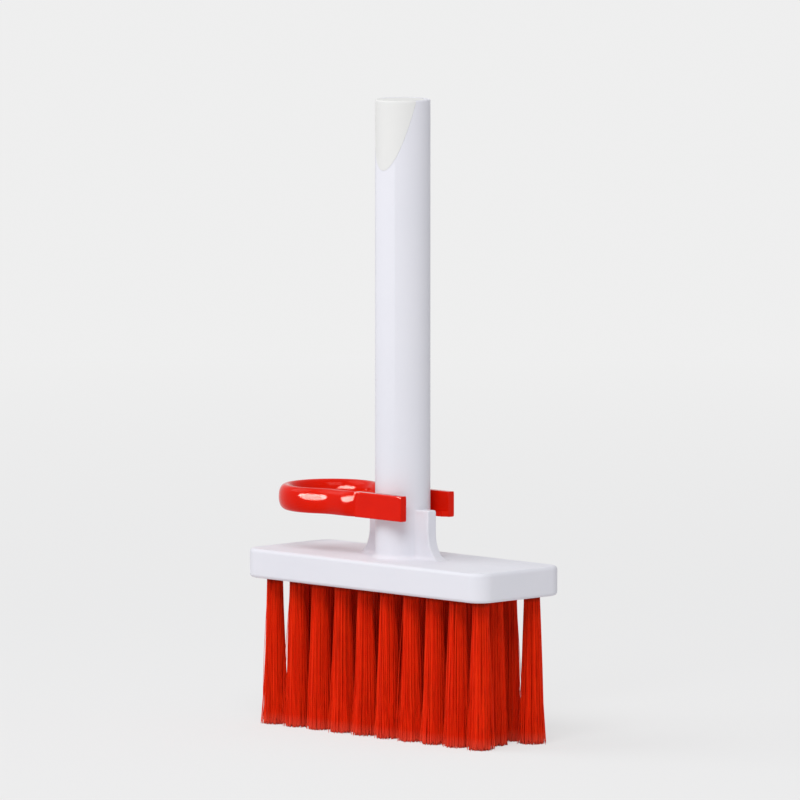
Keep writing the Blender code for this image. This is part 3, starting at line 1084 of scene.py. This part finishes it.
@dataclass(frozen=True)
class Station:
    """A place on the puller's centre line.

    Attributes:
        point: The place, seen from above.
        heading: The direction that the line runs in there.
        roundness: 0 for the flat arm's section and 1 for the ring's.
        thickness: The section's thickness.
        inset: How far the section lies inside its full size.
    """

    point: Vector
    heading: Vector
    roundness: float
    thickness: float
    inset: float = 0.0

    def mirrored(self) -> "Station":
        """Returns the same place on the front half, where the line runs the other way."""
        heading = Vector((-self.heading.x, self.heading.y))
        return replace(self, point=Vector((self.point.x, -self.point.y)), heading=heading)


@dataclass
class KeycapPuller:
    """The keycap puller: a finger ring that runs into two flat arms with claws.

    Attributes:
        datum: The shared sizes.
        finish: The puller's finish.
        clearance: The gap between the arms and the handle.
        arm_thickness: The arms' thickness.
        pad_length: The length of the arms' flat part.
        crease_length: How quickly the section turns from flat to round.
        shoulder_length: How far the ring's thickness takes to thin down to the arm's.
        neck_length: The straight stretch from the flat part to where the ring's curve starts.
        neck_radius: The radius of the hollow curve at the neck.
        ring_radius: The ring's outer radius.
        ring_thickness: The ring's thickness, seen from above.
        flat_power: The power of the flat section's outline.
        round_power: The power of the ring section's outline; 2 is an ellipse.
        edge_round: The round of the arms' ends.
        claw_reach: How far the claws stand in from the arms.
        claw_height: The claws' height.
        claw_length: The claws' length along the arms.
        claw_lead: How far the claws' slanted leading ends run along the arms.
        section_points: How many points the section has.
        crowding: How strongly those points crowd round the flat section's corners, in radians.
    """

    datum: Datum
    finish: GlossPlastic
    clearance: float = 0.4 * MM
    arm_thickness: float = 1.9 * MM
    pad_length: float = 15.3 * MM
    crease_length: float = 0.5 * MM
    shoulder_length: float = 3.7 * MM
    neck_length: float = 7.1 * MM
    neck_radius: float = 12.0 * MM
    ring_radius: float = 12.6 * MM
    ring_thickness: float = 3.4 * MM
    flat_power: float = 12.0
    round_power: float = 2.2
    edge_round: float = 0.08 * MM
    claw_reach: float = 1.0 * MM
    claw_height: float = 1.4 * MM
    claw_length: float = 3.4 * MM
    claw_lead: float = 1.2 * MM
    section_points: int = 56
    crowding: float = 0.2

    def __post_init__(self) -> None:
        """Reads the puller's place and height from the frame, and where its arms' inner sides lie."""
        low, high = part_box("keycap_puller")
        self.tip_x = high.x
        self.bottom = low.z
        self.height = high.z - low.z
        self.inner = self.datum.handle_radius + self.clearance

    def build(self) -> Piece:
        """Moulds the puller.

        Returns:
            The new piece.
        """
        mesh = shaped(self.sweep(), [(Shaping.JOIN, self.claw(side)) for side in (1, -1)])
        piece = add_piece(mesh, self.finish.material(), Body.PULLER, "keycap_puller")
        shade_soft(piece)
        return piece

    def straight_station(self, x: float, inset: float = 0.0) -> Station:
        """Finds a place on the rear arm, between its tip and the start of the neck's curve.

        Args:
            x: How far along the arm the place lies.
            inset: How far the section lies inside its full size.

        Returns:
            The place.
        """
        behind = max(0.0, self.tip_x - self.pad_length - x)
        share = min(1.0, behind / self.crease_length)
        roundness = share * share * (3 - 2 * share)
        left = 1 - min(1.0, behind / self.shoulder_length)
        thickness = self.ring_thickness - (self.ring_thickness - self.arm_thickness) * left**2
        point = Vector((x, self.inner + thickness / 2))
        return Station(point, Vector((-1.0, 0.0)), roundness, thickness, inset)

    def half_line(self, tip_steps: int = 4, neck_steps: int = 16, ring_steps: int = 44) -> list[Station]:
        """Draws half of the centre line, from the rear arm's tip to the far end of the ring.

        Args:
            tip_steps: How many spans the round at the arm's tip has.
            neck_steps: How many spans the neck's curve has.
            ring_steps: How many spans half of the ring has.

        Returns:
            The line's places.
        """
        edge = self.edge_round
        pad_end = self.tip_x - self.pad_length
        neck_x = pad_end - self.neck_length
        neck_y = self.inner + self.ring_thickness / 2 + self.neck_radius
        ring_middle = self.ring_radius - self.ring_thickness / 2
        ring_x = neck_x - math.sqrt((ring_middle + self.neck_radius) ** 2 - neck_y**2)
        meet = math.degrees(math.atan2(neck_y, neck_x - ring_x))
        tip = arc((edge, edge), edge, 270, 180, tip_steps)
        line = [self.straight_station(self.tip_x - back, inset) for inset, back in tip]
        # Each stretch is its start, its length and how many spans it has.
        stretches = (
            (self.tip_x - edge, self.pad_length - edge, 8),
            (pad_end, self.crease_length, 7),
            (pad_end - self.crease_length, self.shoulder_length - self.crease_length, 8),
            (pad_end - self.shoulder_length, self.neck_length - self.shoulder_length, 4),
        )
        for start, length, steps in stretches:
            line += [self.straight_station(start - length * k / steps) for k in range(1, steps + 1)]
        # Each bend is its middle, its radius, its two end angles, its spans and the way it turns.
        bends = (
            ((neck_x, neck_y), self.neck_radius, -90, meet - 180, neck_steps, 1),
            ((ring_x, 0.0), ring_middle, meet, 180, ring_steps, -1),
        )
        for middle, radius, start, end, steps, side in bends:
            spots = arc(middle, radius, start, end, steps)
            for k in range(1, steps + 1):
                angle = math.radians(start + (end - start) * k / steps)
                heading = Vector((side * math.sin(angle), -side * math.cos(angle)))
                line.append(Station(Vector(spots[k]), heading, 1.0, self.ring_thickness))
        return line

    def section(self, station: Station) -> Profile:
        """Draws the section across the centre line.

        Args:
            station: The place on the centre line.

        Returns:
            Points as the distance outwards and the height above the section's middle.
        """
        power = self.flat_power ** (1 - station.roundness) * self.round_power**station.roundness
        points = []
        for i in range(self.section_points):
            turn = 2 * math.pi * i / self.section_points
            angle = turn - self.crowding * (1 - station.roundness) * math.sin(4 * turn)
            out = math.copysign(abs(math.cos(angle)) ** (2 / power), math.cos(angle))
            up = math.copysign(abs(math.sin(angle)) ** (2 / power), math.sin(angle))
            across = station.thickness / 2 - station.inset
            points.append((out * across, up * (self.height / 2 - station.inset)))
        return points

    def sweep(self) -> Mesh:
        """Sweeps the section along the whole centre line, from tip to tip.

        Returns:
            The ring and the arms as one mesh.
        """
        half = self.half_line()
        rings = []
        for station in half + [station.mirrored() for station in reversed(half[:-1])]:
            outward = Vector((station.heading.y, -station.heading.x))
            ring = []
            for out, up in reversed(self.section(station)):
                spot = station.point + outward * out
                ring.append(Vector((spot.x, spot.y, self.bottom + self.height / 2 + up)))
            rings.append(ring)
        return skinned("red_puller", rings)

    def claw(self, side: int) -> Mesh:
        """Makes the low lip that turns in from one arm's tip.

        Args:
            side: 1 for the rear arm and -1 for the front arm.

        Returns:
            The claw's mesh, sunk into its arm.
        """
        low = self.bottom + self.edge_round
        high = low + self.claw_height - self.edge_round
        front = self.tip_x - self.edge_round
        back = front - self.claw_length
        inner = self.inner - self.claw_reach
        outer = self.inner + self.arm_thickness / 2
        chamfer = self.edge_round / 2
        levels = ((chamfer, low), (0.0, low + chamfer), (0.0, high - chamfer), (chamfer, high))
        rings = []
        for inset, height in levels:
            corners = [
                (back + inset, inner + inset),
                (front - self.claw_lead - inset, inner + inset),
                (front - inset, self.inner),
                (front - inset, outer),
                (back + inset, outer),
            ]
            rounded = softened(corners, self.edge_round, 3, closed=True)
            ring = [Vector((x, side * y, height)) for x, y in rounded]
            rings.append(ring if side > 0 else list(reversed(ring)))
        return skinned("claw", rings)


@dataclass
class Pen:
    """The pen that is kept in the handle: cap, barrel, ferrule, nib and flocked sponge.

    Attributes:
        datum: The shared sizes.
        mouth: The oblique cut that the cap's wedge lies on.
        plastic: The finish of cap and barrel.
        steel: The finish of ferrule and nib.
        flock: The sponge's finish.
        fit: The gap between the cap and the handle.
        cap_wall: The cap's wall.
        cap_rim_round: The round of the cap's upper rim.
        seat_gap: The gap between pieces that seat on each other.
        edge: The usual round of a turned edge.
        segments: How many flats the turned pieces have.
        ferrule_head: The ferrule's upper radius as a share of its lower one.
        ferrule_bead: The share of the ferrule's height that its straight foot takes.
        sponge_end: The round of the sponge's end as a share of its radius.
        fibres: How many fibres the sponge shows.
        fibre_length: The length of the longest fibres.
        fibre_shortest: The shortest fibres' length beside that.
        fibre_thinness: How many times its half thickness fibre_length is.
        fibre_lean: The usual lean of a fibre.
        seed: The seed of the random numbers.
    """

    datum: Datum
    mouth: Mouth
    plastic: SatinPlastic
    steel: TurnedSteel
    flock: Flock
    fit: float = 0.06 * MM
    cap_wall: float = 1.2 * MM
    cap_rim_round: float = 0.4 * MM
    seat_gap: float = 0.3 * MM
    edge: float = 0.35 * MM
    segments: int = 128
    ferrule_head: float = 0.56
    ferrule_bead: float = 0.2
    sponge_end: float = 0.7
    fibres: int = 2600
    fibre_length: float = 0.34 * MM
    fibre_shortest: float = 0.6
    fibre_thinness: float = 9.0
    fibre_lean: float = 0.3
    seed: int = 5

    def build(self) -> list[Piece]:
        """Builds the pen's pieces.

        Returns:
            The new pieces.
        """
        plastic = self.plastic.material()
        steel = self.steel.material()
        pieces = [
            add_piece(self.cap(), plastic, Body.CAP, "pen_cap"),
            add_piece(self.barrel(), plastic, Body.PEN, "pen_barrel"),
            add_piece(self.ferrule(), steel, Body.PEN, "nib_collar"),
            add_piece(self.nib(), steel, Body.PEN, "metal_nib"),
            add_piece(self.sponge(), self.flock.material(), Body.PEN, "sponge_tip"),
        ]
        for piece in pieces:
            shade_soft(piece)
        return pieces

    def cap(self, rim_steps: int = 6) -> Mesh:
        """Makes the cap: a core in the bore, a wedge flush with the handle and a hollow for the nib.

        Args:
            rim_steps: How many spans the round of the upper rim has.

        Returns:
            The cap's mesh.
        """
        low, high, _ = reach_of("pen_cap")
        core_radius = reach_of("pen_barrel")[2] + self.seat_gap - self.fit
        core = softened([(0.0, low), (core_radius, low), (core_radius, high), (0.0, high)], self.edge)
        rim = self.datum.handle_radius - self.cap_rim_round
        skirt = [(self.datum.handle_radius, high - self.mouth.depth)]
        skirt += arc((rim, high - self.cap_rim_round), self.cap_rim_round, 0, 90, rim_steps)
        over_cut = [(Shaping.TRIM, self.mouth.wedge(self.fit))]
        head = shaped(turned("head", skirt, self.segments), over_cut)
        hollow_radius = core_radius - self.cap_wall
        hollow_top = reach_of("metal_nib")[1] + 2 * self.seat_gap
        hollow = [(hollow_radius, low - self.cap_wall), (hollow_radius, hollow_top)]
        steps = [(Shaping.JOIN, head), (Shaping.CUT, turned("hollow", hollow, self.segments))]
        return shaped(turned("white_cap", core[1:-1], self.segments), steps)

    def barrel(self) -> Mesh:
        """Makes the barrel, with a spigot for the cap above and a socket for the sponge below.

        Returns:
            The barrel's mesh.
        """
        low, high, radius = reach_of("pen_barrel")
        nib_low, _, nib_radius = reach_of("metal_nib")
        _, sponge_high, sponge_radius = reach_of("sponge_tip")
        socket = sponge_radius + self.seat_gap
        spigot = radius - self.cap_wall - self.seat_gap
        nib_hole = nib_radius + self.seat_gap
        shoulder = reach_of("pen_cap")[0] - self.seat_gap
        profile = [
            (socket, sponge_high + self.seat_gap),
            (socket, low),
            (radius, low),
            (radius, shoulder),
            (spigot, shoulder),
            (spigot, high),
            (nib_hole, high),
            (nib_hole, nib_low - self.seat_gap),
        ]
        return turned("white_barrel", softened(profile, self.edge), self.segments)

    def ferrule(self) -> Mesh:
        """Makes the cone that holds the nib.

        Returns:
            The ferrule's mesh.
        """
        low, high, foot = reach_of("nib_collar")
        hole = reach_of("metal_nib")[2] + self.seat_gap / 2
        head = foot * self.ferrule_head
        bead = low + (high - low) * self.ferrule_bead
        profile = [(hole, low), (foot, low), (foot, bead), (head, high), (hole, high)]
        rounded = softened(profile, self.edge / 2, closed=True)
        return turned("steel_ferrule", rounded, self.segments // 2, closed=True)

    def nib(self, point_turn: float = 84.0, point_steps: int = 6) -> Mesh:
        """Makes the nib: a rod that tapers to a blunt scraping point.

        Args:
            point_turn: How far the round of the point turns, in degrees; 90 leaves no flat on it.
            point_steps: How many spans that round has.

        Returns:
            The nib's mesh.
        """
        low, high, radius = reach_of("metal_nib")
        collar_top = reach_of("nib_collar")[1]
        shank = collar_top + (high - collar_top) / 3
        point = radius / 2
        profile = [(radius, low), (radius, shank), (point, high - point)]
        profile += arc((0.0, high - point), point, 0, point_turn, point_steps)[1:]
        return turned("steel_nib", profile, self.segments // 2)

    def sponge(self, end_steps: int = 8) -> Mesh:
        """Makes the sponge: a soft round-ended core with short fibres all over it.

        Args:
            end_steps: How many spans the core's round end has.

        Returns:
            The sponge's mesh.
        """
        low, high, full_radius = reach_of("sponge_tip")
        radius = full_radius - self.fibre_length
        end = radius * self.sponge_end
        bottom = low + self.fibre_length
        profile = arc((radius - end, bottom + end), end, -90, 0, end_steps) + [(radius, high)]
        core = turned("flocked_sponge", profile, self.segments // 2)
        random = np.random.default_rng(self.seed)
        work = bmesh.new()
        work.from_mesh(core)
        for _ in range(self.fibres):
            turn = random.uniform(0, 2 * math.pi)
            run = random.uniform(0.0, 1.0) * (high - bottom - self.fibre_length)
            tilt = math.asin(min(1.0, max(0.0, 1 - run / end)))
            around = Vector((math.cos(turn), math.sin(turn), 0.0))
            out = around * math.cos(tilt) - Vector((0.0, 0.0, math.sin(tilt)))
            foot = around * (radius - end + end * math.cos(tilt)) + Vector((0.0, 0.0, bottom + run))
            self.add_fibre(work, foot, out, random)
        work.to_mesh(core)
        work.free()
        return core

    def add_fibre(
        self, work: bmesh.types.BMesh, foot: Vector, out: Vector, random: np.random.Generator
    ) -> None:
        """Adds one fibre to the sponge.

        Args:
            work: The mesh being made.
            foot: Where the fibre stands.
            out: The direction away from the core.
            random: The source of the fibre's lean and length.
        """
        side = out.orthogonal().normalized()
        other = out.cross(side)
        lean = side * random.normal(0, self.fibre_lean) + other * random.normal(0, self.fibre_lean)
        length = self.fibre_length * random.uniform(self.fibre_shortest, 1.0)
        half = self.fibre_length / self.fibre_thinness
        sunk = foot - out * half
        # Two spans over two thirds of a turn are the three corners of the fibre's foot.
        corners = arc((0.0, 0.0), half, 0, 240, 2)
        base = [work.verts.new(sunk + side * x + other * y) for x, y in corners]
        peak = work.verts.new(foot + (out + lean).normalized() * length)
        work.faces.new(tuple(reversed(base)))
        for corner, after in zip(base, base[1:] + base[:1]):
            work.faces.new((corner, after, peak))


@dataclass(frozen=True)
class Lamp:
    """A soft lamp that faces the object.

    Attributes:
        name: The lamp's name.
        azimuth: Its direction round the handle, in degrees; 0 is in front.
        elevation: Its height over the place that it faces, in degrees.
        size: Its width and height.
        power: Its power in watts.
        distance: Its distance from the place that it faces.
        target: The height of that place on the handle's axis.
        rounded: Whether it is an ellipse rather than a rectangle.
        gleam_on: The pieces that it shows on as a highlight and doesn't light; none for a plain lamp.
    """

    name: str
    azimuth: float
    elevation: float
    size: tuple[float, float]
    power: float
    distance: float = 2.5
    target: float = 75.0 * MM
    rounded: bool = False
    gleam_on: tuple[str, ...] = ()


@dataclass
class Studio:
    """The pale floor, the lamps, the world and the camera.

    Attributes:
        azimuth: The camera's direction round the object, in degrees; 0 looks along +Y.
        elevation: The camera's height over the horizon, in degrees.
        lens: The camera's focal length in millimetres on a 36 mm sensor.
        view_width: The width of the view at the handle's axis.
        aim_height: The height in the middle of the picture.
        aim_left: How far the picture's middle lies left of the handle's axis.
        pale: The brightness of floor and background where they are seen.
        floor_white: The floor's own brightness.
        ambient: The colour of the world as a light.
        floor_radius: The floor's radius.
        lamps: The lamps.
    """

    azimuth: float = 45.8
    elevation: float = 5.8
    lens: float = 600.0
    view_width: float = 188.2 * MM
    aim_height: float = 79.0 * MM
    aim_left: float = 0.65 * MM
    pale: float = 0.86
    floor_white: float = 0.86
    ambient: Colour = (0.37, 0.37, 0.385)
    floor_radius: float = 8.0
    lamps: tuple[Lamp, ...] = (
        Lamp("key", 35.0, 45.0, (1.5, 1.2), 33.5),
        Lamp("fill", -50.0, 45.0, (1.8, 1.5), 19.5),
        Lamp("gleam", -9.0, 13.5, (0.14, 0.062), 2.0, 128.0 * MM, 54.0 * MM, True, ("red_puller",)),
    )

    def build(self) -> None:
        """Sets the stage."""
        self.add_floor()
        self.add_world()
        for lamp in self.lamps:
            self.add_lamp(lamp)
        self.add_camera()

    @staticmethod
    def toward(azimuth: float, elevation: float) -> Vector:
        """Returns the unit vector from the object towards a direction given in degrees."""
        turn, rise = math.radians(azimuth), math.radians(elevation)
        return Vector((math.sin(turn) * math.cos(rise), -math.cos(turn) * math.cos(rise), math.sin(rise)))

    def add_lamp(self, lamp: Lamp) -> None:
        """Hangs one lamp.

        Args:
            lamp: The lamp's facts.
        """
        data = bpy.data.lights.new(lamp.name, "AREA")
        data.shape = "ELLIPSE" if lamp.rounded else "RECTANGLE"
        data.size, data.size_y = lamp.size
        data.energy = lamp.power
        hung = bpy.data.objects.new(lamp.name, data)
        bpy.context.scene.collection.objects.link(hung)
        back = self.toward(lamp.azimuth, lamp.elevation)
        hung.location = Vector((0.0, 0.0, lamp.target)) + back * lamp.distance
        hung.rotation_euler = (-back).to_track_quat("-Z", "Y").to_euler()
        hung.visible_camera = False
        if lamp.gleam_on:
            hung.visible_diffuse = False
            receivers = bpy.data.collections.new(f"{lamp.name}_receivers")
            for name in lamp.gleam_on:
                receivers.objects.link(bpy.data.objects[name])
            hung.light_linking.receiver_collection = receivers

    def add_world(self) -> None:
        """Makes the world: pale where it is seen, and a plain even light elsewhere."""
        graph = Graph(bpy.data.worlds.new("pale_world"))
        bpy.context.scene.world = graph.owner
        shown = graph.node("Background")
        graph.feed(shown.inputs["Color"], (self.pale, self.pale, self.pale, 1.0))
        light = graph.add("ShaderNodeBackground", {"Color": (*self.ambient, 1.0)})
        mix = graph.add("ShaderNodeMixShader", {0: graph.seen(), 1: light.outputs[0], 2: shown.outputs[0]})
        graph.feed(graph.node("World Output").inputs["Surface"], mix.outputs[0])

    def add_floor(
        self, near: float = 0.25, far: float = 0.9, near_share: float = 0.7, sides: int = 96
    ) -> None:
        """Lays the floor: matt near the object, and further out the colour of the background.

        Args:
            near: The distance from the object where the floor starts to change.
            far: The distance where it has the background's colour.
            near_share: The background colour's share of the floor near the object.
            sides: How many sides the round floor has.
        """
        points = arc((0.0, 0.0), self.floor_radius, 0, 360, sides)[:-1]
        mesh = bpy.data.meshes.new("floor")
        mesh.from_pydata([(x, y, 0.0) for x, y in points], [], [tuple(range(len(points)))])
        floor = bpy.data.objects.new("floor", mesh)
        bpy.context.scene.collection.objects.link(floor)
        graph = Graph(bpy.data.materials.new("pale_floor"))
        white = (self.floor_white, self.floor_white, self.floor_white, 1.0)
        graph.set_shader(base_color=white, roughness=1.0, specular_ior_level=0.0)
        length = graph.add("ShaderNodeVectorMath", {0: graph.place()}, operation="LENGTH")
        away = graph.span(length.outputs["Value"], near, far, near_share, 1.0)
        share = graph.add("ShaderNodeMath", {0: away, 1: graph.seen()}, operation="MULTIPLY").outputs[0]
        glow = graph.add("ShaderNodeEmission", {"Color": (self.pale, self.pale, self.pale, 1.0)})
        matt = graph.node("Principled BSDF").outputs[0]
        mix = graph.add("ShaderNodeMixShader", {0: share, 1: matt, 2: glow.outputs[0]})
        graph.feed(graph.node("Material Output").inputs["Surface"], mix.outputs[0])
        mesh.materials.append(graph.owner)

    def add_camera(self) -> None:
        """Places the camera so that the view has its width at the handle's axis."""
        data = bpy.data.cameras.new("camera")
        data.lens = self.lens
        data.clip_end = 100.0
        camera = bpy.data.objects.new("camera", data)
        bpy.context.scene.collection.objects.link(camera)
        back = self.toward(self.azimuth, self.elevation)
        turn = math.radians(self.azimuth)
        right = Vector((math.cos(turn), math.sin(turn), 0.0))
        aim = Vector((0.0, 0.0, self.aim_height)) - right * self.aim_left
        camera.location = aim + back * (self.view_width * self.lens / data.sensor_width)
        camera.rotation_euler = (-back).to_track_quat("-Z", "Y").to_euler()
        bpy.context.scene.camera = camera


def main() -> None:
    """Builds every sub-assembly and the studio, in order."""
    logging.basicConfig(level=logging.INFO, format="%(message)s")
    bpy.context.scene.view_settings.view_transform = "Standard"
    datum = Datum.read()
    mouth = Mouth(datum)
    body_white = SatinPlastic("body_white_satin", (0.80, 0.80, 0.85), (0.785, 0.787, 0.84))
    cap_white = SatinPlastic("cap_white_satin", (0.82, 0.82, 0.80), (0.80, 0.80, 0.785))
    red_nylon = Filament(
        "bristle_red_nylon", (0.90, 0.024, 0.002), (0.98, 0.037, 0.003), root_height=datum.plate_bottom
    )
    red_gloss = GlossPlastic("puller_red_gloss", (0.76, 0.010, 0.001), (0.70, 0.008, 0.001))
    builders: list[Callable[[], object]] = [
        BrushBody(datum, mouth, body_white).build,
        Bristles(datum, red_nylon).build,
        KeycapPuller(datum, red_gloss).build,
        Pen(
            datum,
            mouth,
            cap_white,
            TurnedSteel("turned_steel", (0.62, 0.62, 0.63)),
            Flock("white_flock", (0.80, 0.80, 0.80), (0.60, 0.60, 0.61)),
        ).build,
        Studio().build,
    ]
    for build in builders:
        build()


if __name__ == "__main__":
    main()
